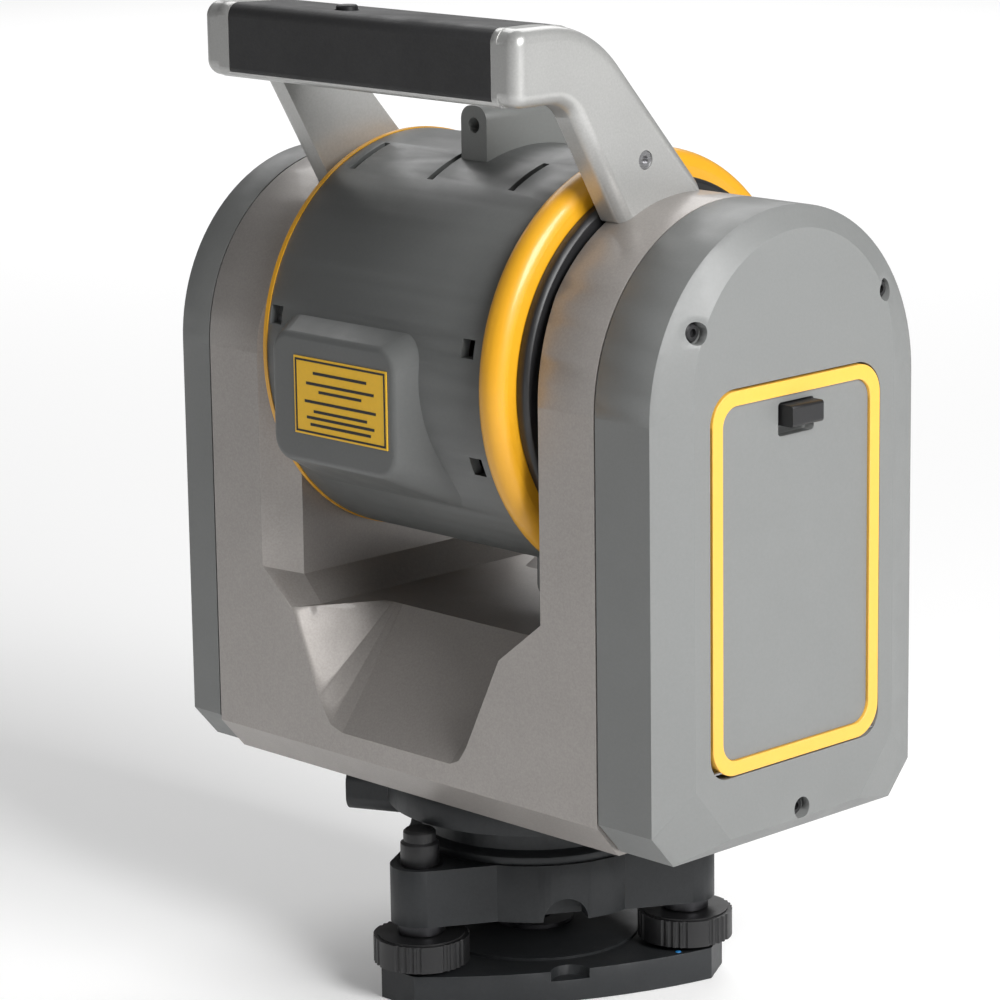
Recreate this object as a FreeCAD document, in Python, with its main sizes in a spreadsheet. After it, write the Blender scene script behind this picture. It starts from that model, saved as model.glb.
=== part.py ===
import FreeCAD, Part
import Sketcher
import math
import os
from FreeCAD import Rotation, Vector

# A scanning total station: a three-screw levelling base, a yoke that turns on it, and a
# scanning head between the yoke's arms. Millimetres. Origin: the tripod thread, on the
# underside of the base plate. +Z is up, -Y is the operator's side, +X the battery side.

SIZES = {
    "base_thick": 12.6, "base_lobe": 16.0, "base_bulge": 55.0, "screw_circle": 62.0,
    "thread_radius": 6.85, "vial_circle": 60.0,
    "plate_low": 31.0, "plate_high": 54.0, "plate_lobe": 11.8, "plate_disc": 50.0,
    "knob_low": 14.2, "knob_high": 26.0, "knob_radius": 18.8, "spindle_radius": 4.0,
    "socket_radius": 33.0, "axle_radius": 14.0, "running_gap": 0.05,
    "foot_high": 79.4, "yoke_low": 80.0, "half_depth": 71.5, "arch_centre": 247.0,
    "seam": 106.2, "arm_left": 67.0, "arm_right": 76.0, "floor_high": 147.6,
    "corner_rise": 13.0, "corner_run": 11.5, "wall": 4.0, "axis_high": 250.0,
    "cover_edge": 134.0, "cover_face": 140.0, "face_half": 54.5, "face_arch": 256.0,
    "left_edge": 123.0, "left_face": 130.0, "cover_wall": 3.0,
    "door_half": 45.7, "door_low": 112.3, "door_high": 255.7, "door_corner": 12.0,
    "door_rim": 5.5, "door_gap": 0.8, "hinge_x": 139.1, "hinge_z": 114.6,
    "pin_radius": 0.7, "scoop_low": 101.8, "scoop_edge": 38.0,
    "head_radius": 79.3, "head_wall": 4.0, "head_left": 62.6, "head_right": 56.0,
    "ring_radius": 83.0, "split": 22.0, "lens_radius": 31.0, "lens_end": 90.0,
    "grip_rear": 88.0, "grip_front": 46.0, "grip_low": 357.0, "grip_high": 385.5,
    "leg_out": 85.5, "leg_in": 74.0, "handle_screw_y": -22.0, "handle_screw_z": 332.7,
    "rubber_left": 70.0, "rubber_right": 73.0, "button_x": -18.0, "button_y": -74.0,
}

doc = FreeCAD.newDocument("LaserScanner")
sheet = doc.addObject("Spreadsheet::Sheet", "Sizes")
for row, (alias, number) in enumerate(SIZES.items(), start=1):
    sheet.set(f"A{row}", alias)
    sheet.set(f"B{row}", str(number))
    sheet.setAlias(f"B{row}", alias)
doc.recompute()


class Dim:
    """A size as a number, with the spreadsheet formula that gives it."""

    def __init__(self, value, formula):
        self.value = value
        self.formula = formula

    def __add__(self, other):
        other = dim(other)
        return Dim(self.value + other.value, f"({self.formula} + {other.formula})")

    def __sub__(self, other):
        other = dim(other)
        return Dim(self.value - other.value, f"({self.formula} - {other.formula})")

    def __mul__(self, other):
        other = dim(other)
        return Dim(self.value * other.value, f"({self.formula} * {other.formula})")

    def __truediv__(self, other):
        other = dim(other)
        return Dim(self.value / other.value, f"({self.formula} / {other.formula})")

    def __neg__(self):
        return Dim(-self.value, f"(0 - {self.formula})")

    def __radd__(self, other):
        return dim(other) + self

    def __rsub__(self, other):
        return dim(other) - self

    def __rmul__(self, other):
        return dim(other) * self


def dim(size):
    if isinstance(size, Dim):
        return size
    return Dim(float(size), f"({float(size):.6f})")


def cell(alias):
    return Dim(SIZES[alias], f"Sizes.{alias}")


NODES = []
X_AXIS, Y_AXIS, Z_AXIS = Vector(1, 0, 0), Vector(0, 1, 0), Vector(0, 0, 1)
TURN = {"X": Rotation(Y_AXIS, 90), "Y": Rotation(X_AXIS, -90), "Z": Rotation()}
PLANE = {"X": "YZ_Plane", "Y": "XZ_Plane", "Z": "XY_Plane"}


# ---------------------------------------------------------------- building blocks
def place(piece, at):
    for axis, size in zip("xyz", at):
        piece.setExpression(f"Placement.Base.{axis}", dim(size).formula)


def node(piece, label):
    piece.Label = label
    NODES.append(piece)
    return piece


def cylinder(radius, height, at=(0, 0, 0), axis="Z"):
    piece = doc.addObject("Part::Cylinder", "Cylinder")
    piece.Placement.Rotation = TURN[axis]
    piece.setExpression("Radius", dim(radius).formula)
    piece.setExpression("Height", dim(height).formula)
    place(piece, at)
    return piece


def box(low, high):
    piece = doc.addObject("Part::Box", "Box")
    for side, start, end in zip(("Length", "Width", "Height"), low, high):
        piece.setExpression(side, (dim(end) - start).formula)
    place(piece, low)
    return piece


def cut(base, *tools):
    for tool in tools:
        result = doc.addObject("Part::Cut", "Cut")
        result.Base = base
        result.Tool = tool
        base = result
    return base


def fuse(*pieces):
    result = doc.addObject("Part::MultiFuse", "Fuse")
    result.Shapes = list(pieces)
    return result


def common(*pieces):
    result = doc.addObject("Part::MultiCommon", "Common")
    result.Shapes = list(pieces)
    return result


def group(*pieces):
    result = doc.addObject("Part::Compound", "Group")
    result.Links = list(pieces)
    return result


def mirror_x(piece):
    result = doc.addObject("Part::Mirroring", "Mirror")
    result.Source = piece
    result.Normal = X_AXIS
    return result


def round_edges(piece, radius, wanted):
    """Round the straight or curved edges for which wanted(edge) is true."""
    doc.recompute()
    result = doc.addObject("Part::Fillet", "Round")
    result.Base = piece
    numbers = [i for i, edge in enumerate(piece.Shape.Edges, start=1) if wanted(edge)]
    result.Edges = [(number, radius, radius) for number in numbers]
    return result


def along(axis):
    """A test for edges that run straight along an axis."""
    def test(edge):
        if not isinstance(edge.Curve, Part.Line):
            return False
        return abs(edge.Curve.Direction.dot(axis)) > 0.999
    return test


def arc_centre(first, middle, last):
    """The centre of the circle through three points."""
    (ax, ay), (bx, by), (cx, cy) = first, middle, last
    ux, uy, vx, vy = bx - ax, by - ay, cx - ax, cy - ay
    twice_area = 2 * (ux * vy - uy * vx)
    u_squared, v_squared = ux * ux + uy * uy, vx * vx + vy * vy
    return (ax + (vy * u_squared - uy * v_squared) / twice_area,
            ay + (ux * v_squared - vx * u_squared) / twice_area)


def measure(sketch, kind, edge, spot, size):
    number = sketch.addConstraint(Sketcher.Constraint(kind, -1, 1, edge, spot, size.value))
    sketch.setExpression(f"Constraints[{number}]", size.formula)


def draw(body, role, outline):
    """A closed sketch. Each entry is (a, b), or (a, b, "mid") for a point midway round an arc."""
    plane = [item for item in body.Origin.OriginFeatures if item.Role == role][0]
    sketch = body.newObject("Sketcher::SketchObject", "Sketch")
    sketch.AttachmentSupport = [(plane, "")]
    sketch.MapMode = "FlatFace"
    points = [(dim(entry[0]), dim(entry[1])) for entry in outline]
    corners = [index for index, entry in enumerate(outline) if len(entry) == 2]
    edges = []
    for order, index in enumerate(corners):
        following = corners[(order + 1) % len(corners)]
        between = (index + 1) % len(points)
        start, middle, end = [Vector(points[spot][0].value, points[spot][1].value, 0)
                              for spot in (index, between, following)]
        if between == following:
            edge = sketch.addGeometry(Part.LineSegment(start, end), False)
            edges.append((edge, 1, 2))
            continue
        edge = sketch.addGeometry(Part.Arc(start, middle, end), False)
        forward = (sketch.getPoint(edge, 1) - start).Length < 0.001
        edges.append((edge, 1, 2) if forward else (edge, 2, 1))
        centre = arc_centre(points[index], points[between], points[following])
        level = abs((end - start).x) > abs((end - start).y)
        kind, size = ("DistanceY", centre[1]) if level else ("DistanceX", centre[0])
        measure(sketch, kind, edge, 3, size)
    for order, (edge, first, last) in enumerate(edges):
        next_edge, next_first, _ = edges[(order + 1) % len(edges)]
        join = Sketcher.Constraint("Coincident", edge, last, next_edge, next_first)
        sketch.addConstraint(join)
        across, up = points[corners[order]]
        measure(sketch, "DistanceX", edge, first, across)
        measure(sketch, "DistanceY", edge, first, up)
    return sketch


def prism(outline, axis, start, end):
    """A body whose outline, seen along an axis, runs from start to end along it."""
    body = doc.addObject("PartDesign::Body", "Prism")
    sketch = draw(body, PLANE[axis], outline)
    pad = body.newObject("PartDesign::Pad", "Pad")
    pad.Profile = sketch
    pad.Reversed = axis == "Y"
    pad.setExpression("Length", (dim(end) - start).formula)
    at = {"X": (start, 0, 0), "Y": (0, start, 0), "Z": (0, 0, start)}[axis]
    place(body, at)
    return body


def lathe(outline, axis="Z", at=(0, 0, 0)):
    """A body turned about an axis. The outline is (radius, distance along the axis)."""
    body = doc.addObject("PartDesign::Body", "Lathe")
    if axis == "X":
        sketch = draw(body, "XY_Plane", [(b, a) + tuple(rest) for a, b, *rest in outline])
    else:
        sketch = draw(body, "XZ_Plane" if axis == "Z" else "XY_Plane", outline)
    turned = body.newObject("PartDesign::Revolution", "Revolution")
    turned.Profile = sketch
    turned.ReferenceAxis = (sketch, ["H_Axis" if axis == "X" else "V_Axis"])
    turned.Angle = 360
    place(body, at)
    return body


def draw_loose(outline, axis):
    """A closed wire square to an axis, for a loft."""
    body = doc.addObject("PartDesign::Body", "Section")
    sketch = draw(body, PLANE[axis], outline)
    doc.recompute()
    wire = doc.addObject("Part::Feature", "SectionWire")
    wire.Shape = sketch.Shape.copy()
    return wire


def loft(*sections):
    """A ruled solid through wires, each given with its place."""
    result = doc.addObject("Part::Loft", "Loft")
    for wire, at in sections:
        place(wire, at)
    result.Sections = [wire for wire, _ in sections]
    result.Solid = True
    result.Ruled = True
    return result


def ring(inner, outer, low, high, axis="Z", at=(0, 0, 0)):
    return lathe([(inner, low), (outer, low), (outer, high), (inner, high)], axis, at)


def around(count, first_angle, radius):
    """Points on a circle, as (x, y) formulas."""
    points = []
    for step in range(count):
        angle = math.radians(first_angle + step * 360 / count)
        points.append((radius * math.cos(angle), radius * math.sin(angle)))
    return points


def spot(angle, radius, height):
    """A point given by its direction from the vertical axis, its distance and its height."""
    turn = math.radians(angle)
    return (radius * math.cos(turn), radius * math.sin(turn), height)


def face_along(piece, angle, radius, height):
    """Lay an upright cylinder out level, pointing away from the vertical axis."""
    piece.Placement.Rotation = Rotation(Z_AXIS, angle).multiply(TURN["X"])
    place(piece, spot(angle, radius, height))
    return piece


def swing(piece, angle, height):
    """Turn a piece drawn along +X to another direction, and lift it."""
    piece.Placement.Rotation = Rotation(Z_AXIS, angle)
    place(piece, (0, 0, height))
    return piece


def three_lobes(lobe, bulge):
    """The outline around three equal circles on the foot screws, its sides bowed out."""
    outline = []
    spread = 36 if bulge else 60
    for step in range(3):
        middle = 30 + 120 * step
        centre_x = cell("screw_circle") * math.cos(math.radians(middle))
        centre_y = cell("screw_circle") * math.sin(math.radians(middle))
        for offset in (-spread, 0, spread):
            turn = math.radians(middle + offset)
            point = (centre_x + lobe * math.cos(turn), centre_y + lobe * math.sin(turn))
            outline.append(point + ("mid",) if offset == 0 else point)
        if bulge:
            turn = math.radians(middle + 60)
            outline.append((bulge * math.cos(turn), bulge * math.sin(turn), "mid"))
    return outline


def arch(half, low, centre, run, rise):
    """An arm's side view: a half-round top, straight sides and two cut bottom corners."""
    return [(-half, low + rise), (run - half, low), (half - run, low), (half, low + rise),
            (half, centre), (0, centre + half, "mid"), (-half, centre)]


def rounded_rectangle(half_width, low, high, corner):
    """A rectangle in the (y, z) plane, centred on y = 0, with round corners."""
    inset = corner * (1 - math.sqrt(0.5))
    return [(corner - half_width, low), (half_width - corner, low),
            (half_width - inset, low + inset, "mid"), (half_width, low + corner),
            (half_width, high - corner), (half_width - inset, high - inset, "mid"),
            (half_width - corner, high), (corner - half_width, high),
            (inset - half_width, high - inset, "mid"), (-half_width, high - corner),
            (-half_width, low + corner), (inset - half_width, low + inset, "mid")]


def rounded_box(low, high, corner, axis):
    """A box whose edges along one axis are rounded."""
    return round_edges(box(low, high), corner, along(axis))


# ---------------------------------------------------------------- levelling base
SCREWS = list(zip("abc", around(3, 30, cell("screw_circle"))))
CLAMP_ANGLE = 110
VIAL_ANGLE = 68
WING_ANGLE = 206


def make_base_plate():
    plate = prism(three_lobes(cell("base_lobe"), cell("base_bulge")), "Z", 0, cell("base_thick"))
    reach = cell("screw_circle") + cell("base_lobe") - 3
    cuts = []
    for step in range(3):
        flat = box((reach, -30, -1), (reach + 20, 30, cell("base_thick") + 1))
        flat.Placement.Rotation = Rotation(Z_AXIS, 30 + 120 * step)
        turn = math.radians(30 + 120 * step)
        place(flat, (reach * math.cos(turn) + 30 * math.sin(turn),
                     reach * math.sin(turn) - 30 * math.cos(turn), -1))
        cuts.append(flat)
    for x, y in around(3, 330, cell("base_bulge") + 1.5):
        cuts.append(cylinder(8, 5, (x, y, cell("base_thick") - 4)))
    for _, (x, y) in SCREWS:
        cuts.append(cylinder(5.4, 5, (x, y, cell("base_thick") - 4)))
    cuts.append(cylinder(13, cell("base_thick") + 2, (0, 0, -1)))
    top = cell("base_thick")
    pads = [ring(6.2, 12.5, top - 1, top + 1.1, at=(x, y, 0)) for _, (x, y) in SCREWS]
    node(cut(fuse(plate, *pads), *cuts), "base_plate")


def make_thread_bush():
    top = cell("base_thick")
    bore = cell("thread_radius")
    bush = lathe([(bore, 0), (13, 0), (13, top), (15.5, top), (15.5, top + 5.4), (bore, top + 5.4)])
    node(bush, "thread_bush")


def make_spring_plate():
    top = cell("base_thick")
    dome = lathe([(15.6, top + 2.4), (40, top), (42, top), (42, top + 1), (40, top + 1.3),
                  (15.6, top + 3.9)])
    node(dome, "spring_plate")


def make_tribrach_plate():
    low, high = cell("plate_low"), cell("plate_high")
    lobes = prism(three_lobes(cell("plate_lobe"), None), "Z", low, high)
    shelf = [cylinder(10, 3, spot(VIAL_ANGLE, cell("vial_circle") - back, 40)) for back in (0, 9)]
    whole = fuse(lobes, cylinder(cell("plate_disc"), high - low, (0, 0, low)), *shelf)
    cuts = [cylinder(cell("socket_radius"), high - low + 2, (0, 0, low - 1))]
    cuts += [cylinder(9.3, high - low + 2, (x, y, low - 1)) for _, (x, y) in SCREWS]
    cuts.append(face_along(cylinder(9, 30), -30, 40, low))
    cuts.append(face_along(cylinder(5.1, 40), CLAMP_ANGLE, 30, (low + high) / 2))
    node(cut(whole, *cuts), "tribrach_plate")


def make_foot_screws():
    low, high = cell("plate_low"), cell("plate_high")
    shaft = cell("spindle_radius")
    sleeves = []
    caps = []
    for letter, (x, y) in SCREWS:
        bore = shaft + cell("running_gap")
        sleeves.append(ring(bore, 9.3, low - 4.4, high, at=(x, y, 0)))
        caps.append(lathe([(shaft + 1, high), (7.6, high), (7.6, high + 8.5), (6.4, high + 9.5),
                           (6.4, high + 13), (5.4, high + 14), (0, high + 14), (0, high + 12.6),
                           (shaft + 1, high + 12.6)], at=(x, y, 0)))
        knob_low, knob_high = cell("knob_low"), cell("knob_high")
        body = ring(shaft, cell("knob_radius") - 1.8, knob_low, knob_high, at=(x, y, 0))
        blank = ring(cell("knob_radius") - 2.4, cell("knob_radius"), knob_low + 0.6,
                     knob_high - 0.6, at=(x, y, 0))
        grooves = []
        for lobe in range(6):
            for groove in (-1.5, -0.5, 0.5, 1.5):
                angle = math.radians(60 * lobe + 9 * groove)
                reach = cell("knob_radius") + 0.5
                grooves.append(cylinder(1.15, 14, (x + reach * math.cos(angle),
                                                   y + reach * math.sin(angle), knob_low - 1)))
        node(fuse(body, cut(blank, fuse(*grooves))), f"foot_knob_{letter}")
        spindle = lathe([(0, 8.9), (3, 8.9), (4.9, 10.2), (4.9, 12.2), (shaft, 13.4),
                         (shaft, high + 11), (0, high + 11)], at=(x, y, 0))
        node(spindle, f"foot_spindle_{letter}")
    node(group(*sleeves), "foot_screw_sleeves")
    node(group(*caps), "foot_screw_caps")


def make_clamp():
    middle = (cell("plate_low") + cell("plate_high")) / 2
    knob = lathe([(0, 35), (5.05, 35), (5.05, 51), (10, 51), (11, 52), (11, 61), (9.5, 62.5),
                  (0, 62.5)], "X")
    wing = rounded_box((56, -14, -3.2), (61, 14, 3.2), 2.4, X_AXIS)
    node(fuse(swing(knob, CLAMP_ANGLE, middle), swing(wing, CLAMP_ANGLE, middle)), "clamp_knob")
    node(ring(24, 32.4, 36, 41), "locking_ring")


def make_bubble():
    high = cell("plate_high")
    centre = spot(VIAL_ANGLE, cell("vial_circle"), 0)
    housing = lathe([(0, 43), (9.8, 43), (9.8, high - 1), (9, high),
                     (8, high), (8, high - 7), (0, high - 7)], at=centre)
    node(housing, "vial_housing")
    vial = lathe([(0, high - 6.9), (7.9, high - 6.9), (7.9, high - 0.8), (0, high + 0.4)], at=centre)
    node(vial, "bubble_vial")


# ---------------------------------------------------------------- instrument base and axle
def make_instrument_base():
    high = cell("plate_high")
    top = cell("foot_high")
    socket = cell("socket_radius") - 0.1
    bearing = cell("axle_radius")
    profile = [(bearing, 42), (socket, 42), (socket, high), (49, high), (49, high + 3),
               (45, high + 5), (45, 65), (58, 68.8), (58, top - 2), (57, top), (bearing, top)]
    wing = swing(rounded_box((0, -26, 62), (70, 26, top), 6, X_AXIS), WING_ANGLE, 0)
    core = cylinder(50, 40, (0, 0, 50))
    node(fuse(lathe(profile), cut(wing, core)), "instrument_base")
    head = lathe([(0, 70), (5.2, 70), (5.2, 73.5), (4.6, 74.2), (2.4, 74.2),
                  (2.4, 72), (0, 72)], "X")
    node(swing(head, WING_ANGLE, 68), "base_clamp_screw")


def make_vertical_axle():
    axle = cell("axle_radius")
    spindle = lathe([(0, 42), (axle - 0.02, 42), (axle - 0.02, 131), (axle - 1, 132), (0, 132)])
    node(spindle, "vertical_spindle")
    bore = axle + cell("running_gap")
    bearings = [ring(bore, 23.95, low, low + 9) for low in (86, 118)]
    height = cell("axis_high")
    left, right = -cell("arm_left"), cell("arm_right")
    bearings.append(ring(bore, 23.95, right + 2, right + 11, "X", (0, 0, height)))
    bearings.append(ring(bore, 23.95, left - 11, left - 2, "X", (0, 0, height)))
    node(group(*bearings), "axle_bearings")
    node(ring(axle, 19, 97, 108), "pan_motor_rotor")
    node(ring(19.6, 23.95, 96, 109), "pan_motor_stator")
    node(ring(bore, 23.95, cell("yoke_low") + 0.3, 84.5), "axle_seal")


# ---------------------------------------------------------------- yoke
def gap_outline(flare_left, flare_right, corner_left, corner_right, skin):
    """The space between the arms, seen from behind, in (x, z), its two bottom corners cut."""
    floor = cell("floor_high")
    left, right = -cell("arm_left") - flare_left - skin, cell("arm_right") + flare_right + skin
    return [(left, 360), (left, floor + corner_left[1]), (corner_left[0] - skin, floor - skin),
            (corner_right[0] + skin, floor - skin), (right, floor + corner_right[1]), (right, 360)]


def scoop(side, skin):
    """The hollow that runs down and out from the floor under the head, at one end of it."""
    floor, low = cell("floor_high"), cell("scoop_low")
    sunk = 1.6 * skin
    mouth = [(-33 - skin, low - sunk), (28 + skin, low - sunk), (33 + skin, low + 2.2 - sunk),
             (37 + skin, low + 8), (55.5 + skin, floor), (55.5 + skin, floor + 2),
             (-61.5 - skin, floor + 2), (-61.5 - skin, floor), (-46.5 - skin, low + 12),
             (-40 - skin, low + 2.2 - sunk)]
    throat = [(-33 - skin, floor - sunk), (42, floor - sunk), (45, floor - sunk),
              (48, floor - sunk / 2), (50 + skin, floor), (50 + skin, floor + 2),
              (-42 - skin, floor + 2), (-42 - skin, floor), (-39 - skin, floor - sunk / 2),
              (-36 - skin, floor - sunk)]
    return loft((draw_loose(throat, "Y"), (0, side * cell("scoop_edge"), 0)),
                (draw_loose(mouth, "Y"), (0, side * (cell("half_depth") + 0.05), 0)))


def gap_between_arms(skin):
    """The space that the head turns in, grown by a skin all round."""
    half = cell("half_depth")
    inside = gap_outline(0, 0, (-57, 10.5), (55, 16.5), skin)
    flared = gap_outline(11, 2, (-61.5, 14.0), (55.5, 17.5), skin)
    pieces = [prism(inside, "Y", -half - 20, half + 20)]
    for side in (-1, 1):
        pieces.append(loft((draw_loose(inside, "Y"), (0, side * (half - 12), 0)),
                           (draw_loose(flared, "Y"), (0, side * (half + 0.05), 0))))
        pieces.append(scoop(side, skin))
    return fuse(*pieces)


def make_yoke():
    half, low, centre = cell("half_depth"), cell("yoke_low"), cell("arch_centre")
    seam, wall = cell("seam"), cell("wall")
    run, rise = cell("corner_run"), cell("corner_rise")
    outer = prism(arch(half, low, centre, run, rise), "X", -seam, seam)
    inner = prism(arch(half - wall, low + wall, centre, run - 2, rise - 2), "X",
                  -seam - 1, seam + 1)
    hollow = cut(inner, gap_between_arms(wall))
    yoke = cut(outer, gap_between_arms(0), hollow)
    bearing = 24
    left, right = -cell("arm_left"), cell("arm_right")
    posts = [ring(bearing, 29, low + 1, 130)]
    posts.append(ring(bearing, 29, right + 2, right + 12, "X", (0, 0, cell("axis_high"))))
    posts.append(ring(bearing, 29, left - 12, left - 2, "X", (0, 0, cell("axis_high"))))
    yoke = fuse(yoke, *posts)
    bores = [cylinder(bearing, 60, (0, 0, low - 1))]
    bores.append(cylinder(bearing, 14, (right - 1, 0, cell("axis_high")), "X"))
    bores.append(cylinder(bearing, 14, (left - 13, 0, cell("axis_high")), "X"))
    node(cut(yoke, *bores), "yoke_frame")


def cover_outline(inset, at_face):
    """A cover's side view at its seam edge or at its outer face, drawn in by an inset."""
    if at_face:
        return arch(cell("face_half") - inset, cell("yoke_low") + 8 + inset,
                    cell("face_arch"), cell("corner_run") + 7, cell("corner_rise") + 9)
    return arch(cell("half_depth") - inset, cell("yoke_low") + 2 + inset,
                cell("arch_centre"), cell("corner_run"), cell("corner_rise"))


def dome(edge, face, inset):
    """The bevelled outer part of a cover, between its side wall and its outer face."""
    return loft((draw_loose(cover_outline(inset, False), "X"), (edge, 0, 0)),
                (draw_loose(cover_outline(inset, True), "X"), (face, 0, 0)))


def make_cover(edge, face):
    """A cover for the +X side: a side wall, a bevel and a flat face, open inward."""
    start = cell("seam") + 0.8
    skin = cell("cover_wall")
    outside = fuse(prism(cover_outline(0, False), "X", start, edge), dome(edge, face, 0))
    inside = fuse(prism(cover_outline(skin, False), "X", start - 1, edge - 1),
                  dome(edge - 1, face - skin, skin))
    return cut(outside, inside)


# Where a cover's three screws sit: (y, z).
COVER_SCREWS = [(-52, 279), (50, 281.5), (3.4, 91.5)]


def make_covers():
    gap = cell("door_gap")
    half = cell("door_half") + gap
    low, high = cell("door_low") - gap, cell("door_high") + gap
    corner = cell("door_corner") + gap
    face = cell("cover_face")
    right = make_cover(cell("cover_edge"), face)
    collar = prism(rounded_rectangle(half + 2.5, low - 2.5, high + 2.5, corner + 2.5), "X",
                   face - 9, face - 2)
    opening = prism(rounded_rectangle(half, low, high, corner), "X", face - 12, face + 2)
    swing_room = prism(rounded_rectangle(half, low, low + 40, corner - 3.8), "X",
                       face - 12, face + 2)
    wells = [cylinder(4.2, 14, (face - 6, y, z), "X") for y, z in COVER_SCREWS]
    posts = [cylinder(5.2, 29, (cell("seam") + 1, y, z), "X") for y, z in COVER_SCREWS]
    ends = cylinder(cell("pin_radius") + cell("running_gap"), 2 * half - 4.6,
                    (cell("hinge_x"), 2.3 - half, cell("hinge_z")), "Y")
    node(cut(fuse(right, collar, *posts), opening, swing_room, ends, *wells), "right_cover")
    left = make_cover(cell("left_edge"), cell("left_face"))
    wells = [cylinder(4.2, 14, (cell("left_face") - 6, y, z), "X") for y, z in COVER_SCREWS]
    posts = [cylinder(5.2, 19, (cell("seam") + 1, y, z), "X") for y, z in COVER_SCREWS]
    node(mirror_x(cut(fuse(left, *posts), *wells)), "left_cover")
    screws = []
    for head, side in ((face - 5.9, 1), (cell("left_face") - 5.9, -1)):
        for y, z in COVER_SCREWS:
            screw = lathe([(0, 0), (3.6, 0), (3.6, 2), (2.8, 2.8), (1.6, 2.8), (1.6, 1.2),
                           (0, 1.2)], "X", (head, y, z))
            screws.append(screw if side == 1 else mirror_x(screw))
    node(group(*screws), "cover_screws")
    seals = []
    for side in (1, -1):
        start, end = cell("seam"), cell("seam") + 0.8
        rim = cut(prism(cover_outline(0.7, False), "X", start, end),
                  prism(cover_outline(2.6, False), "X", start - 1, end + 1))
        seals.append(rim if side == 1 else mirror_x(rim))
    node(group(*seals), "cover_gaskets")


# ---------------------------------------------------------------- inside the arms
def make_arm_internals():
    height = cell("axis_high")
    node(ring(23, 36, 89, 98, "X", (0, 0, height)), "tilt_motor_stator")
    node(rounded_box((-112, -44, 112), (-110, 44, 268), 5, X_AXIS), "main_board")
    tray = box((101.5, -42, 114.5), (130.5, 42, 254))
    node(cut(tray, box((104, -39.5, 117), (132, 39.5, 251.5))), "battery_bay")
    node(rounded_box((104.2, -37, 121), (129, 37, 249), 4, X_AXIS), "battery_pack")
    contacts = [box((107, y, 117), (127, y + 4, 120.9)) for y in (-14, -4, 6)]
    node(group(*contacts), "battery_contacts")


# ---------------------------------------------------------------- battery door
def make_door():
    half, low, high = cell("door_half"), cell("door_low"), cell("door_high")
    corner, rim = cell("door_corner"), cell("door_rim")
    face = cell("cover_face")
    frame = prism(rounded_rectangle(half, low, high, corner), "X", face - 6.5, face + 0.6)
    window = prism(rounded_rectangle(half - rim, low + rim, high - rim, corner - rim + 1), "X",
                   face - 8, face + 2)
    pin = cell("pin_radius")
    pin_bore = cylinder(pin, 2 * half, (cell("hinge_x"), -half, cell("hinge_z")), "Y")
    node(cut(frame, window, pin_bore), "door_frame")
    panel = prism(rounded_rectangle(half - rim - 0.2, low + rim + 0.2, high - rim - 0.2,
                                    corner - rim + 0.8), "X", face - 6, face - 0.6)
    pocket = rounded_box((face - 4.6, -9.6, 235), (face + 3, 9.9, 247.6), 1.5, X_AXIS)
    node(cut(panel, pocket), "door_panel")
    node(cylinder(pin, 2 * half - 3.2, (cell("hinge_x"), 1.6 - half, cell("hinge_z")), "Y"),
         "door_hinge_pin")
    knob = rounded_box((face - 4.2, -8.4, 239), (face + 5.6, 8.4, 247), 1.2, Y_AXIS)
    plate = box((face - 4.4, -9, 238.6), (face - 2.4, 9, 247.2))
    node(fuse(knob, plate), "door_latch")


# ---------------------------------------------------------------- carrying handle
def grip_outline(inset):
    """The grip's end view in (y, z): flat rear face, rounded top and front."""
    rear, front = -cell("grip_rear") + inset, -cell("grip_front") - inset
    low, high = cell("grip_low") + inset, cell("grip_high") - inset
    return [(rear + 4, low), (front - 6, low), (front - 1.8, low + 1.8, "mid"), (front, low + 6),
            (front, high - 13), (front - 3.8, high - 4.5, "mid"), (front - 13, high - 1),
            (rear + 5, high), (rear + 1.5, high - 1.5, "mid"), (rear, high - 5),
            (rear, low + 4), (rear + 1.2, low + 1.2, "mid")]


def make_cheeks():
    """The handle's two legs, each with the end of the grip above it."""
    outline = [(-34, 311), (-56.9, 351), (-61.42, 355.39, "mid"), (-67.5, 357), (-82, 357),
               (-86.24, 358.76, "mid"), (-88, 363), (-88, 379.5), (-86.24, 383.74, "mid"),
               (-82, 385.5), (-70, 385.5), (-50.1, 381.2, "mid"), (-33.8, 369.2), (6, 324),
               (8, 312), (-20, 300)]
    leg_in, leg_out = cell("leg_in"), cell("leg_out")
    cheeks = []
    for start, end, outer in ((leg_in, leg_out, leg_out), (-leg_out, -leg_in, -leg_out)):
        def outer_rim(edge):
            middle = edge.BoundBox.Center
            return abs(middle.x - outer.value) < 0.01 and edge.BoundBox.ZMax > 325
        cheeks.append(round_edges(prism(outline, "X", start, end), 5, outer_rim))
    return cheeks


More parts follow.
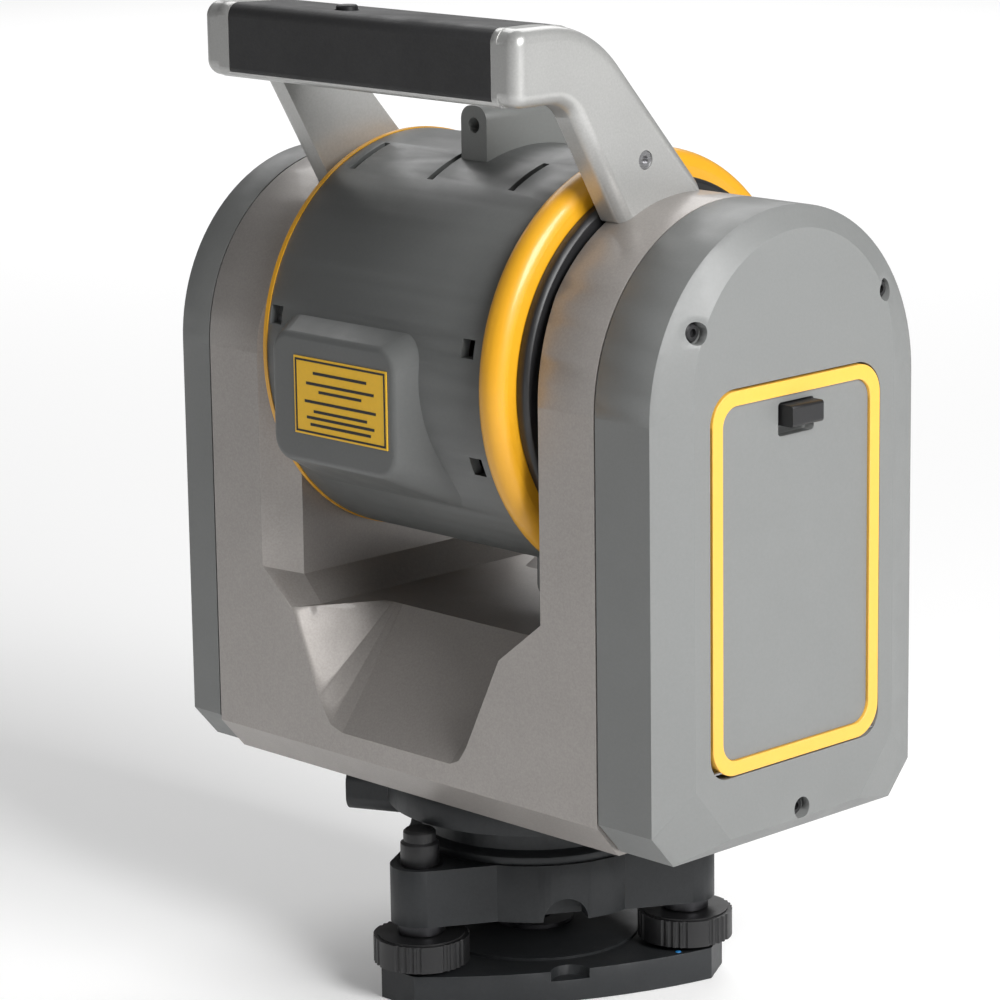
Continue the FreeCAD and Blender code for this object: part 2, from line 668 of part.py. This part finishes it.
def make_handle():
    leg_out = cell("leg_out")
    rubber_left, rubber_right = -cell("rubber_left"), cell("rubber_right")
    bar = prism(grip_outline(0), "X", -cell("leg_in") - 2, cell("leg_in") + 2)
    sleeve_space = cut(prism(grip_outline(-1), "X", rubber_left, rubber_right),
                       prism(grip_outline(2.5), "X", rubber_left - 1, rubber_right + 1),
                       box((rubber_left - 1, -100, 350), (rubber_right + 1, -30, 359.4)))
    crown = prism(arch(cell("half_depth"), cell("yoke_low"), cell("arch_centre"),
                       cell("corner_run"), cell("corner_rise")), "X", -120, 120)
    screw_y, screw_z = cell("handle_screw_y"), cell("handle_screw_z")
    screw_well = [cylinder(3.6, 3, (leg_out - 2.4, screw_y, screw_z), "X"),
                  cylinder(3.6, 3, (-leg_out - 0.6, screw_y, screw_z), "X")]
    well = cylinder(4.6, 12, (cell("button_x"), cell("button_y"), 381))
    node(cut(fuse(bar, *make_cheeks()), sleeve_space, crown, well, *screw_well), "handle_frame")
    rubber = cut(prism(grip_outline(0), "X", rubber_left + 0.3, rubber_right - 0.3),
                 prism(grip_outline(2.5), "X", rubber_left - 1, rubber_right + 1),
                 box((rubber_left - 1, -100, 350), (rubber_right + 1, -30, 359.5)))
    node(cut(rubber, well), "handle_grip")
    screws = []
    for side in (1, -1):
        screw = lathe([(0, -2.3), (3.4, -2.3), (3.4, -0.5), (1.6, -0.5), (1.6, -1.7), (0, -1.7)],
                      "X", (leg_out, screw_y, screw_z))
        screws.append(screw if side == 1 else mirror_x(screw))
    node(group(*screws), "handle_screws")
    top = cell("grip_high")
    button = lathe([(0, top - 1.9), (4.1, top - 1.9), (4.1, top + 1), (3.6, top + 1.5),
                    (0, top + 1.5)], at=(cell("button_x"), cell("button_y"), 0))
    node(button, "power_button")


# ---------------------------------------------------------------- scanning head
# Where the two small cameras look out, beside the lens: (x, z).
CAMERA_EYES = [(-41, 285), (36, 285)]


def make_head_tube():
    """The head's drum: a plain tube along the tilt axis, and the space inside it."""
    left, right = -cell("head_left"), cell("head_right")
    radius, skin = cell("head_radius"), cell("head_wall")
    height = cell("axis_high")
    tube = ring(radius - skin, radius, left, right, "X", (0, 0, height))
    space = cylinder(radius - skin, right - left + 10, (left - 5, 0, height), "X")
    return tube, space


def make_rear_shell():
    radius, height = cell("head_radius"), cell("axis_high")
    tube, space = make_head_tube()
    base = draw_loose(rounded_rectangle(48, 200, 276, 12), "Y")
    top = draw_loose(rounded_rectangle(34, 213, 262, 9), "Y")
    hump = loft((base, (-12, -62, 0)), (top, (-17, -87, 0)))
    hump = round_edges(hump, 3, lambda edge: edge.BoundBox.YMax < -86.9)
    sockets = [box((x, -82, z), (x + 6.5, -64, z + 7)) for x in (45, -61.5) for z in (262.2, 217.2)]
    slots = []
    for x in (-55, -11, 33):
        groove = ring(radius - 2.6, radius + 4, x - 1.6, x + 1.6, "X", (0, 0, height))
        slots.append(common(groove, box((x - 3, -40, 300), (x + 3, -21, 340))))
    rear_half = box((-90, -120, 130), (90, cell("split"), 370))
    shell = fuse(common(tube, rear_half), cut(hump, space))
    node(cut(shell, *sockets, *slots), "head_rear_shell")


def make_front_shell():
    height = cell("axis_high")
    tube, space = make_head_tube()
    hump = rounded_box((-52, 55, 204), (46, 84, 296), 10, Y_AXIS)
    hump = round_edges(hump, 5, lambda edge: edge.BoundBox.YMin > 83.9)
    lens_bore = cylinder(cell("lens_radius") + 0.1, 60, (-3, 40, height), "Y")
    eyes = [cylinder(7.1, 60, (x, 40, z), "Y") for x, z in CAMERA_EYES]
    front_half = box((-90, cell("split") + 0.3, 130), (90, 120, 370))
    shell = fuse(common(tube, front_half), cut(hump, space))
    node(cut(shell, lens_bore, *eyes), "head_front_shell")


def make_head_rings():
    height = cell("axis_high")
    left, right = -cell("head_left"), cell("head_right")
    outer = cell("ring_radius")
    accent = ring(70, cell("head_radius") + 0.4, left - 2, left, "X", (0, 0, height))
    node(accent, "accent_ring")
    bumper = lathe([(68, right + 0.3), (outer - 4, right + 0.3), (outer - 1.3, right + 1.8, "mid"),
                    (outer, right + 5.5), (outer - 1.6, right + 10, "mid"),
                    (outer - 6, right + 12.2), (68, right + 12.2)], "X", (0, 0, height))
    node(bumper, "bumper_ring")
    disc = lathe([(16, right + 12.4), (73, right + 12.4), (73, right + 16), (71.5, right + 17.4),
                  (16, right + 17.4)], "X", (0, 0, height))
    node(disc, "end_disc")


def make_trunnions():
    height = cell("axis_high")
    left, right = -cell("head_left"), cell("head_right")
    axle = cell("axle_radius")
    inside = cell("head_radius") - cell("head_wall")
    left_flange = lathe([(0, left + 4), (inside, left + 4), (inside, left), (69.9, left),
                         (69.9, left - 2), (axle, left - 2), (axle, -99), (0, -99)],
                        "X", (0, 0, height))
    right_flange = lathe([(0, right - 4), (inside, right - 4), (inside, right), (67.9, right + 0.1),
                          (67.9, right + 12.2), (axle, right + 12.2), (axle, 100), (0, 100)],
                         "X", (0, 0, height))
    node(left_flange, "trunnion_left")
    node(right_flange, "trunnion_right")
    node(ring(axle, 22, 90, 97, "X", (0, 0, height)), "tilt_motor_rotor")
    node(ring(axle, 33, -92, -90.4, "X", (0, 0, height)), "tilt_encoder_disc")


def make_sights():
    height = cell("axis_high")
    radius = cell("head_radius")
    for name, flip, x, start, end, high in (("top_sight", 0, -1, -26, 21.5, 96),
                                            ("lower_lug", 180, 33, -22, 14, 92)):
        block = rounded_box((-7, start, 70), (7, end, high), 5.5, Y_AXIS)
        bore = cylinder(3, 60, (0, start - 5, high - 7.5), "Y")
        solid = cut(block, bore, cylinder(radius + 0.05, 60, (-30, 0, 0), "X"))
        solid.Placement.Rotation = Rotation(Y_AXIS, flip)
        place(solid, (x, 0, height))
        node(solid, name)


def make_label():
    node(box((-38, -87.4, 224), (14, -87, 254)), "label_plate")


def make_optics():
    height = cell("axis_high")
    lens = cell("lens_radius")
    end = cell("lens_end")
    barrel = lathe([(26, 24), (lens, 24), (lens, end - 1.5), (lens - 1.5, end), (28, end),
                    (28, end - 4.5), (26, end - 4.5)], "Y", (-3, 0, height))
    node(barrel, "lens_barrel")
    glass = lathe([(0, end - 9), (25.9, end - 9), (25.9, end - 5), (0, end - 2.5)], "Y",
                  (-3, 0, height))
    node(glass, "front_lens")
    eyes = [lathe([(0, 76), (7, 76), (7, 83), (0, 83.6)], "Y", (x, 0, z)) for x, z in CAMERA_EYES]
    node(group(*eyes), "camera_windows")
    node(ring(20.3, 30.9, -36, 20, "Y", (-3, 0, height)), "scan_motor_housing")
    rotor = lathe([(0, -30), (19.8, -30), (19.8, 12), (12, 18), (0, 18)], "Y", (-3, 0, height))
    node(rotor, "scan_prism_rotor")
    node(rounded_box((-50, -44, 226), (-37, 20, 274), 3, X_AXIS), "laser_module")
    tie = box((-48, -50, 214), (33, -40, 219))
    node(tie, "optics_bracket")


make_base_plate()
make_thread_bush()
make_spring_plate()
make_tribrach_plate()
make_foot_screws()
make_clamp()
make_bubble()
make_instrument_base()
make_vertical_axle()
make_yoke()
make_covers()
make_arm_internals()
make_door()
make_handle()
make_rear_shell()
make_front_shell()
make_head_rings()
make_trunnions()
make_sights()
make_label()
make_optics()

doc.recompute()
failed = [item.Label for item in doc.Objects if {"Invalid", "Error"} & set(item.State)]
failed += [piece.Label for piece in NODES if piece.Shape.isNull() or not piece.Shape.isValid()]
if failed:
    raise RuntimeError(f"these did not build: {failed}")
os.makedirs("parts", exist_ok=True)
for piece in NODES:
    piece.Shape.exportStep(f"parts/{piece.Label}.step")
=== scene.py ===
import math

import bpy
from mathutils import Matrix, Vector


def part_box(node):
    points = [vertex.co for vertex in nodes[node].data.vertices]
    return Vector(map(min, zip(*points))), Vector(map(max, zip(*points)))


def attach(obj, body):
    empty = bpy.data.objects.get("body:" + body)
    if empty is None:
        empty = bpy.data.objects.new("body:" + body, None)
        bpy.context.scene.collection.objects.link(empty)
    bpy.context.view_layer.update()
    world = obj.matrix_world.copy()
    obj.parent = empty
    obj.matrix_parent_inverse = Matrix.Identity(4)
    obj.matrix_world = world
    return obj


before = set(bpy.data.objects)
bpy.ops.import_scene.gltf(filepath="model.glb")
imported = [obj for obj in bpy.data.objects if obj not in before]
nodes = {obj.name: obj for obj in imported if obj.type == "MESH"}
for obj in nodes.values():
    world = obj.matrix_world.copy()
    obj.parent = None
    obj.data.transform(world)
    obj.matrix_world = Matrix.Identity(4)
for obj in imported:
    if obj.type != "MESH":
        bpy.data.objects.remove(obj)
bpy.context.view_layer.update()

MM = 0.001

# How far from an edge its wear is seen.
WEAR_REACH = 0.9 * MM

# ---------------------------------------------------------------- materials
def new_material(name):
    material = bpy.data.materials.new(name)
    material.use_nodes = True
    tree = material.node_tree
    return material, tree, tree.nodes["Principled BSDF"]


def noise(tree, place, size, detail=3.0, roughness=0.5):
    """Noise whose spots are about size metres across."""
    texture = tree.nodes.new("ShaderNodeTexNoise")
    texture.inputs["Scale"].default_value = 1.0 / size
    texture.inputs["Detail"].default_value = detail
    texture.inputs["Roughness"].default_value = roughness
    tree.links.new(place.outputs["Object"], texture.inputs["Vector"])
    return texture.outputs["Fac"]


def spread(tree, value, low, high, start=0.3, end=0.7):
    """Maps a noise from start..end to low..high."""
    node = tree.nodes.new("ShaderNodeMapRange")
    node.inputs["From Min"].default_value = start
    node.inputs["From Max"].default_value = end
    node.inputs["To Min"].default_value = low
    node.inputs["To Max"].default_value = high
    tree.links.new(value, node.inputs["Value"])
    return node.outputs["Result"]


def blend_colour(tree, factor, first, second):
    """Mixes two colours; the factor and each colour may be a socket or a plain value."""
    node = tree.nodes.new("ShaderNodeMix")
    node.data_type = "RGBA"
    if isinstance(factor, float):
        node.inputs["Factor"].default_value = factor
    else:
        tree.links.new(factor, node.inputs["Factor"])
    for socket, colour in ((node.inputs[6], first), (node.inputs[7], second)):
        if isinstance(colour, tuple):
            socket.default_value = (*colour, 1.0)
        else:
            tree.links.new(colour, socket)
    return node.outputs[2]


def multiply(tree, first, second):
    node = tree.nodes.new("ShaderNodeMath")
    node.operation = "MULTIPLY"
    tree.links.new(first, node.inputs[0])
    tree.links.new(second, node.inputs[1])
    return node.outputs[0]


def edge_mask(tree, place):
    """1 along worn edges, broken up by noise, and 0 elsewhere."""
    bevel = tree.nodes.new("ShaderNodeBevel")
    bevel.samples = 4
    bevel.inputs["Radius"].default_value = WEAR_REACH
    geometry = tree.nodes.new("ShaderNodeNewGeometry")
    dot = tree.nodes.new("ShaderNodeVectorMath")
    dot.operation = "DOT_PRODUCT"
    tree.links.new(bevel.outputs["Normal"], dot.inputs[0])
    tree.links.new(geometry.outputs["Normal"], dot.inputs[1])
    edge = spread(tree, dot.outputs["Value"], 1.0, 0.0, 0.80, 0.985)
    patches = spread(tree, noise(tree, place, 0.006, 4.0, 0.65), 0.0, 1.0, 0.42, 0.62)
    return multiply(tree, edge, patches)


def shade(colour, factor):
    return tuple(min(1.0, part * factor) for part in colour)


def finish_of(name, colour, roughness, metallic=0.0, grain=0.0006, bump=0.2, depth=0.00004,
              mottle=0.06, speckle=0.05, wear=0.5, worn=None, coat=0.0):
    """A moulded or painted surface: grain, mottling, uneven gloss and worn edges.

    The grain's size and depth are in metres, and worn is the colour of the worn edges.
    """
    material, tree, shader = new_material(name)
    place = tree.nodes.new("ShaderNodeTexCoord")
    broad = spread(tree, noise(tree, place, 0.05, 4.0), 0.0, 1.0, 0.25, 0.75)
    base = blend_colour(tree, broad, shade(colour, 1.0 - mottle), shade(colour, 1.0 + mottle))
    spots = spread(tree, noise(tree, place, grain * 1.6, 2.0), 0.0, 1.0, 0.3, 0.75)
    spotted = blend_colour(tree, spots, shade(colour, 1.0 - speckle), shade(colour, 1.0 + speckle))
    result = blend_colour(tree, 0.5, base, spotted)
    if wear:
        mask = spread(tree, edge_mask(tree, place), 0.0, wear, 0.0, 1.0)
        result = blend_colour(tree, mask, result, worn or shade(colour, 1.7))
    tree.links.new(result, shader.inputs["Base Color"])
    gloss = spread(tree, noise(tree, place, 0.02, 5.0, 0.6), roughness * 0.85, roughness * 1.15)
    tree.links.new(gloss, shader.inputs["Roughness"])
    shader.inputs["Metallic"].default_value = metallic
    shader.inputs["Coat Weight"].default_value = coat
    relief = tree.nodes.new("ShaderNodeBump")
    relief.inputs["Strength"].default_value = bump
    relief.inputs["Distance"].default_value = depth
    tree.links.new(noise(tree, place, grain, 2.0), relief.inputs["Height"])
    tree.links.new(relief.outputs["Normal"], shader.inputs["Normal"])
    return material


def turned_metal(name, colour, roughness):
    """Machined metal with fine tool marks across the Z axis."""
    mark_density, flattening = 60.0, 60.0
    material, tree, shader = new_material(name)
    place = tree.nodes.new("ShaderNodeTexCoord")
    stretch = tree.nodes.new("ShaderNodeMapping")
    stretch.inputs["Scale"].default_value = (1.0, 1.0, flattening)
    tree.links.new(place.outputs["Object"], stretch.inputs["Vector"])
    marks = tree.nodes.new("ShaderNodeTexNoise")
    marks.inputs["Scale"].default_value = mark_density
    tree.links.new(stretch.outputs["Vector"], marks.inputs["Vector"])
    tint = blend_colour(tree, marks.outputs["Fac"], shade(colour, 0.85), shade(colour, 1.1))
    tree.links.new(tint, shader.inputs["Base Color"])
    gloss = spread(tree, marks.outputs["Fac"], roughness * 0.8, roughness * 1.3)
    tree.links.new(gloss, shader.inputs["Roughness"])
    shader.inputs["Metallic"].default_value = 1.0
    relief = tree.nodes.new("ShaderNodeBump")
    relief.inputs["Strength"].default_value = 0.15
    relief.inputs["Distance"].default_value = 0.00003
    tree.links.new(marks.outputs["Fac"], relief.inputs["Height"])
    tree.links.new(relief.outputs["Normal"], shader.inputs["Normal"])
    return material


def coated_glass(name, colour, alpha):
    """Dark coated glass with faint smears."""
    material, tree, shader = new_material(name)
    place = tree.nodes.new("ShaderNodeTexCoord")
    smears = noise(tree, place, 0.012, 4.0, 0.6)
    tint = blend_colour(tree, smears, shade(colour, 0.7), shade(colour, 1.5))
    tree.links.new(tint, shader.inputs["Base Color"])
    tree.links.new(spread(tree, smears, 0.02, 0.09), shader.inputs["Roughness"])
    shader.inputs["Coat Weight"].default_value = 1.0
    shader.inputs["Coat Roughness"].default_value = 0.02
    shader.inputs["Specular IOR Level"].default_value = 0.8
    shader.inputs["Alpha"].default_value = alpha
    return material


def make_materials():
    return {
        "yoke": finish_of("yoke_paint", (0.36, 0.336, 0.318), 0.42, metallic=0.35, grain=0.0005,
                          bump=0.35, speckle=0.16, mottle=0.03, wear=0.35, coat=0.12),
        "cover": finish_of("cover_grey", (0.19, 0.195, 0.192), 0.46, grain=0.0007, bump=0.35,
                           mottle=0.04, wear=0.3),
        "head": finish_of("head_grey", (0.115, 0.119, 0.117), 0.42, grain=0.0008, bump=0.3,
                          speckle=0.06, mottle=0.05, wear=0.3),
        "sight": finish_of("sight_grey", (0.15, 0.155, 0.15), 0.42, grain=0.0008, bump=0.3,
                           wear=0.3),
        "yellow": finish_of("yellow_gloss", (0.72, 0.35, 0.013), 0.38, grain=0.002, bump=0.08,
                            speckle=0.02, mottle=0.03, wear=0.2, worn=(0.9, 0.62, 0.2), coat=0.2),
        "label": finish_of("label_yellow", (0.86, 0.5, 0.02), 0.5, grain=0.001, bump=0.1,
                           speckle=0.04, mottle=0.04, wear=0.2, worn=(0.9, 0.7, 0.3)),
        "door": finish_of("door_yellow", (0.80, 0.44, 0.06), 0.38, grain=0.001, bump=0.12,
                          speckle=0.03, mottle=0.03, wear=0.3, worn=(0.95, 0.8, 0.45), coat=0.15),
        "silver": finish_of("handle_silver", (0.43, 0.43, 0.42), 0.36, metallic=0.45,
                            grain=0.0005, bump=0.3, speckle=0.12, mottle=0.03, wear=0.3, coat=0.15),
        "rubber": finish_of("grip_rubber", (0.024, 0.024, 0.025), 0.62, grain=0.0009, bump=0.7,
                            depth=0.00008, speckle=0.2, mottle=0.12, wear=0.35,
                            worn=(0.07, 0.07, 0.07)),
        "black": finish_of("black_plastic", (0.013, 0.013, 0.014), 0.42, grain=0.0008, bump=0.35,
                           speckle=0.15, mottle=0.1, wear=0.45, worn=(0.06, 0.06, 0.06)),
        "casting": finish_of("charcoal_casting", (0.022, 0.024, 0.026), 0.5, metallic=0.2,
                             grain=0.0009, bump=0.6, depth=0.00006, speckle=0.15, mottle=0.1,
                             worn=(0.09, 0.095, 0.1)),
        "seal": finish_of("seal_rubber", (0.008, 0.008, 0.008), 0.7, wear=0.0),
        "steel": turned_metal("turned_steel", (0.42, 0.42, 0.43), 0.3),
        "dark_steel": turned_metal("dark_steel", (0.07, 0.07, 0.075), 0.35),
        "nickel": turned_metal("nickel_plate", (0.55, 0.49, 0.42), 0.22),
        "brass": turned_metal("turned_brass", (0.62, 0.44, 0.16), 0.3),
        "alloy": turned_metal("machined_alloy", (0.6, 0.61, 0.62), 0.34),
        "lens": coated_glass("coated_lens", (0.02, 0.035, 0.06), 0.55),
        "vial": coated_glass("vial_glass", (0.35, 0.55, 0.12), 0.6),
        "board": finish_of("board_green", (0.02, 0.16, 0.07), 0.4, grain=0.003, bump=0.3,
                           mottle=0.1),
        "case": finish_of("battery_case", (0.04, 0.04, 0.045), 0.5, mottle=0.08),
        "ink": finish_of("label_ink", (0.012, 0.012, 0.012), 0.5, wear=0.0),
        "blue": finish_of("blue_dot", (0.02, 0.2, 0.5), 0.35, wear=0.0),
    }


LOOKS = {
    "yoke": ["yoke_frame"],
    "cover": ["left_cover", "right_cover", "door_panel"],
    "head": ["head_rear_shell", "head_front_shell"],
    "sight": ["top_sight", "lower_lug"],
    "yellow": ["bumper_ring", "accent_ring"],
    "label": ["label_plate"],
    "door": ["door_frame"],
    "silver": ["handle_frame"],
    "rubber": ["handle_grip"],
    "black": ["door_latch", "power_button", "end_disc", "foot_knob_a", "foot_knob_b",
              "foot_knob_c", "foot_screw_caps", "clamp_knob", "vial_housing", "lens_barrel",
              "cover_screws"],
    "casting": ["base_plate", "tribrach_plate", "instrument_base", "spring_plate"],
    "seal": ["cover_gaskets", "axle_seal"],
    "dark_steel": ["foot_screw_sleeves", "thread_bush"],
    "steel": ["foot_spindle_a", "foot_spindle_b", "foot_spindle_c",
              "vertical_spindle", "axle_bearings", "handle_screws", "door_hinge_pin",
              "locking_ring"],
    "nickel": ["base_clamp_screw"],
    "brass": ["battery_contacts"],
    "alloy": ["trunnion_left", "trunnion_right", "pan_motor_rotor", "pan_motor_stator",
              "tilt_motor_rotor", "tilt_motor_stator", "scan_motor_housing", "laser_module",
              "optics_bracket", "scan_prism_rotor"],
    "lens": ["front_lens", "camera_windows", "tilt_encoder_disc"],
    "vial": ["bubble_vial"],
    "board": ["main_board"],
    "case": ["battery_bay", "battery_pack"],
}

# How far each node's sharp edges are rounded, in millimetres.
ROUNDING = {
    "yoke_frame": 0.9, "left_cover": 1.0, "right_cover": 1.0, "door_frame": 0.7,
    "door_panel": 0.4, "handle_frame": 0.8, "handle_grip": 0.3, "top_sight": 0.8,
    "lower_lug": 0.5, "head_rear_shell": 0.4, "head_front_shell": 0.4, "base_plate": 0.6,
    "tribrach_plate": 0.8, "instrument_base": 0.6, "door_latch": 0.3, "end_disc": 0.4,
    "clamp_knob": 0.4, "foot_screw_caps": 0.3, "vial_housing": 0.3, "lens_barrel": 0.3,
}


def soften(node, width):
    """Joins a node's split corners and rounds its sharp edges."""
    weld = node.modifiers.new("weld", "WELD")
    weld.merge_threshold = 0.002 * MM
    bevel = node.modifiers.new("round_edges", "BEVEL")
    bevel.width = width
    bevel.segments = 2
    bevel.limit_method = "ANGLE"
    bevel.angle_limit = math.radians(32)
    bevel.use_clamp_overlap = True
    bevel.harden_normals = True


def dress_cad(materials):
    for look, names in LOOKS.items():
        for name in names:
            node = nodes[name]
            node.data.materials.clear()
            node.data.materials.append(materials[look])
    for name, width in ROUNDING.items():
        soften(nodes[name], width * MM)


# ---------------------------------------------------------------- added pieces
def add_piece(name, vertices, faces, material, body):
    mesh = bpy.data.meshes.new(name)
    mesh.from_pydata([tuple(v) for v in vertices], [], faces)
    mesh.update()
    mesh.materials.append(material)
    piece = bpy.data.objects.new(name, mesh)
    bpy.context.scene.collection.objects.link(piece)
    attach(piece, body)
    return piece


BOX_SIDES = ((0, 1, 3, 2), (4, 6, 7, 5), (0, 4, 5, 1), (2, 3, 7, 6), (0, 2, 6, 4), (1, 5, 7, 3))


def add_blocks(blocks, vertices, faces):
    """Adds closed boxes, each given by its low and high corners."""
    for low, high in blocks:
        start = len(vertices)
        for x in (low[0], high[0]):
            for y in (low[1], high[1]):
                for z in (low[2], high[2]):
                    vertices.append((x, y, z))
        for quad in BOX_SIDES:
            faces.append([start + corner for corner in quad])


def make_label(materials):
    """A black border and plain bars on the yellow label, with no lettering."""
    low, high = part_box("label_plate")
    thickness, margin, line, bar_height = 0.12 * MM, 0.8 * MM, 0.8 * MM, 1.1 * MM
    back, front = low[1], low[1] - thickness
    left, right = low[0] + margin, high[0] - margin
    bottom, top = low[2] + margin, high[2] - margin
    blocks = [((left, front, bottom), (right, back, bottom + line)),
              ((left, front, top - line), (right, back, top)),
              ((left, front, bottom + line), (left + line, back, top - line)),
              ((right - line, front, bottom + line), (right, back, top - line))]
    middle = (left + right) / 2
    # Each bar's drop below the border's top, and half its length, in millimetres.
    bars = ((4.4, 15), (8.6, 19), (11.4, 12), (15.6, 20), (19.2, 15), (21.8, 19), (24.4, 17))
    for drop, half in bars:
        bar_top = top - drop * MM
        blocks.append(((middle - half * MM, front, bar_top - bar_height),
                       (middle + half * MM, back, bar_top)))
    vertices, faces = [], []
    add_blocks(blocks, vertices, faces)
    add_piece("label_print", vertices, faces, materials["ink"], "scan_head")


def make_dots(materials):
    """A small blue dot beside each foot screw, on the base plate."""
    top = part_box("spring_plate")[0][2]
    distance, first_direction = 65.5 * MM, 15
    # Radius and height of each ring of a dot, in millimetres.
    profile = ((1.2, 0.0), (1.0, 0.3), (0.5, 0.45))
    sides = 12
    vertices, faces = [], []
    for third in range(3):
        angle = math.radians(first_direction + 120 * third)
        centre = Vector((distance * math.cos(angle), distance * math.sin(angle), top))
        start = len(vertices)
        for radius, lift in profile:
            for step in range(sides):
                turn = math.tau * step / sides
                offset = Vector((radius * math.cos(turn), radius * math.sin(turn), lift))
                vertices.append(centre + offset * MM)
        for level in range(len(profile) - 1):
            for step in range(sides):
                low = start + level * sides + step
                beside = start + level * sides + (step + 1) % sides
                faces.append([low, beside, beside + sides, low + sides])
        faces.append([start + 2 * sides + step for step in range(sides)])
        faces.append([start + sides - 1 - step for step in range(sides)])
    add_piece("base_dots", vertices, faces, materials["blue"], "tribrach")


# ---------------------------------------------------------------- stage
def aim(thing, at, target):
    thing.location = at
    thing.rotation_euler = (Vector(target) - Vector(at)).to_track_quat("-Z", "Y").to_euler()


def add_area(name, at, target, size, power):
    data = bpy.data.lights.new(name, "AREA")
    data.energy = power
    data.size = size
    light = bpy.data.objects.new(name, data)
    bpy.context.scene.collection.objects.link(light)
    aim(light, at, target)


def make_world():
    """Soft light all round, in front of a white backdrop."""
    world = bpy.data.worlds.new("studio")
    world.use_nodes = True
    tree = world.node_tree
    sky = tree.nodes["Background"]
    sky.inputs["Strength"].default_value = 0.15
    backdrop = tree.nodes.new("ShaderNodeBackground")
    seen = tree.nodes.new("ShaderNodeLightPath")
    choice = tree.nodes.new("ShaderNodeMixShader")
    tree.links.new(seen.outputs["Is Camera Ray"], choice.inputs["Fac"])
    tree.links.new(sky.outputs["Background"], choice.inputs[1])
    tree.links.new(backdrop.outputs["Background"], choice.inputs[2])
    tree.links.new(choice.outputs["Shader"], tree.nodes["World Output"].inputs["Surface"])
    for node in (sky, backdrop):
        node.inputs["Color"].default_value = (1.0, 1.0, 1.0, 1.0)
    bpy.context.scene.world = world


def make_stage():
    """A pale floor just under the base, a key light, a weak fill and a light on the floor behind."""
    reach, gap, middle = 6.0, 0.2 * MM, (0.0, 0.0, 0.22)
    corners = [(-reach, -reach, 0), (reach, -reach, 0), (reach, reach, 0), (-reach, reach, 0)]
    mesh = bpy.data.meshes.new("floor")
    mesh.from_pydata(corners, [], [(0, 1, 2, 3)])
    material, _, shader = new_material("floor_white")
    shader.inputs["Base Color"].default_value = (0.86, 0.86, 0.86, 1.0)
    shader.inputs["Roughness"].default_value = 0.9
    shader.inputs["Emission Color"].default_value = (1.0, 1.0, 1.0, 1.0)
    shader.inputs["Emission Strength"].default_value = 0.16
    mesh.materials.append(material)
    floor = bpy.data.objects.new("floor", mesh)
    floor.location.z = -gap
    bpy.context.scene.collection.objects.link(floor)
    add_area("key_right", (1.6, -0.13, 1.1), middle, 0.9, 44.0)
    add_area("fill_back", (-0.9, -1.6, 1.0), middle, 1.4, 0.4)
    add_area("backdrop", (-2.1, 2.0, 2.4), (-1.7, 1.6, 0.0), 3.0, 80.0)


def make_camera():
    """The photographed view: from behind the instrument, to its right and a little above."""
    azimuth, elevation, roll = math.radians(46.009), math.radians(12.947), math.radians(-0.822)
    distance, aside, below = 1.5497, -0.01147, -0.0600
    level = math.cos(elevation)
    back = Vector((math.sin(azimuth) * level, -math.cos(azimuth) * level, math.sin(elevation)))
    right = Vector((math.cos(azimuth), math.sin(azimuth), 0.0))
    up = back.cross(right)
    tilt_axis = Vector((0.0, 0.0, 0.250))
    spot = tilt_axis + back * distance + right * aside + up * below
    across = right * math.cos(roll) + up * math.sin(roll)
    upward = up * math.cos(roll) - right * math.sin(roll)
    data = bpy.data.cameras.new("camera")
    data.sensor_width = 36.0
    data.lens = 143.5
    camera = bpy.data.objects.new("camera", data)
    turn = Matrix((across, upward, back)).transposed().to_4x4()
    camera.matrix_world = Matrix.Translation(spot) @ turn
    bpy.context.scene.collection.objects.link(camera)
    bpy.context.scene.camera = camera


looks = make_materials()
dress_cad(looks)
make_label(looks)
make_dots(looks)
make_world()
make_stage()
make_camera()
bpy.context.scene.view_settings.view_transform = "Standard"
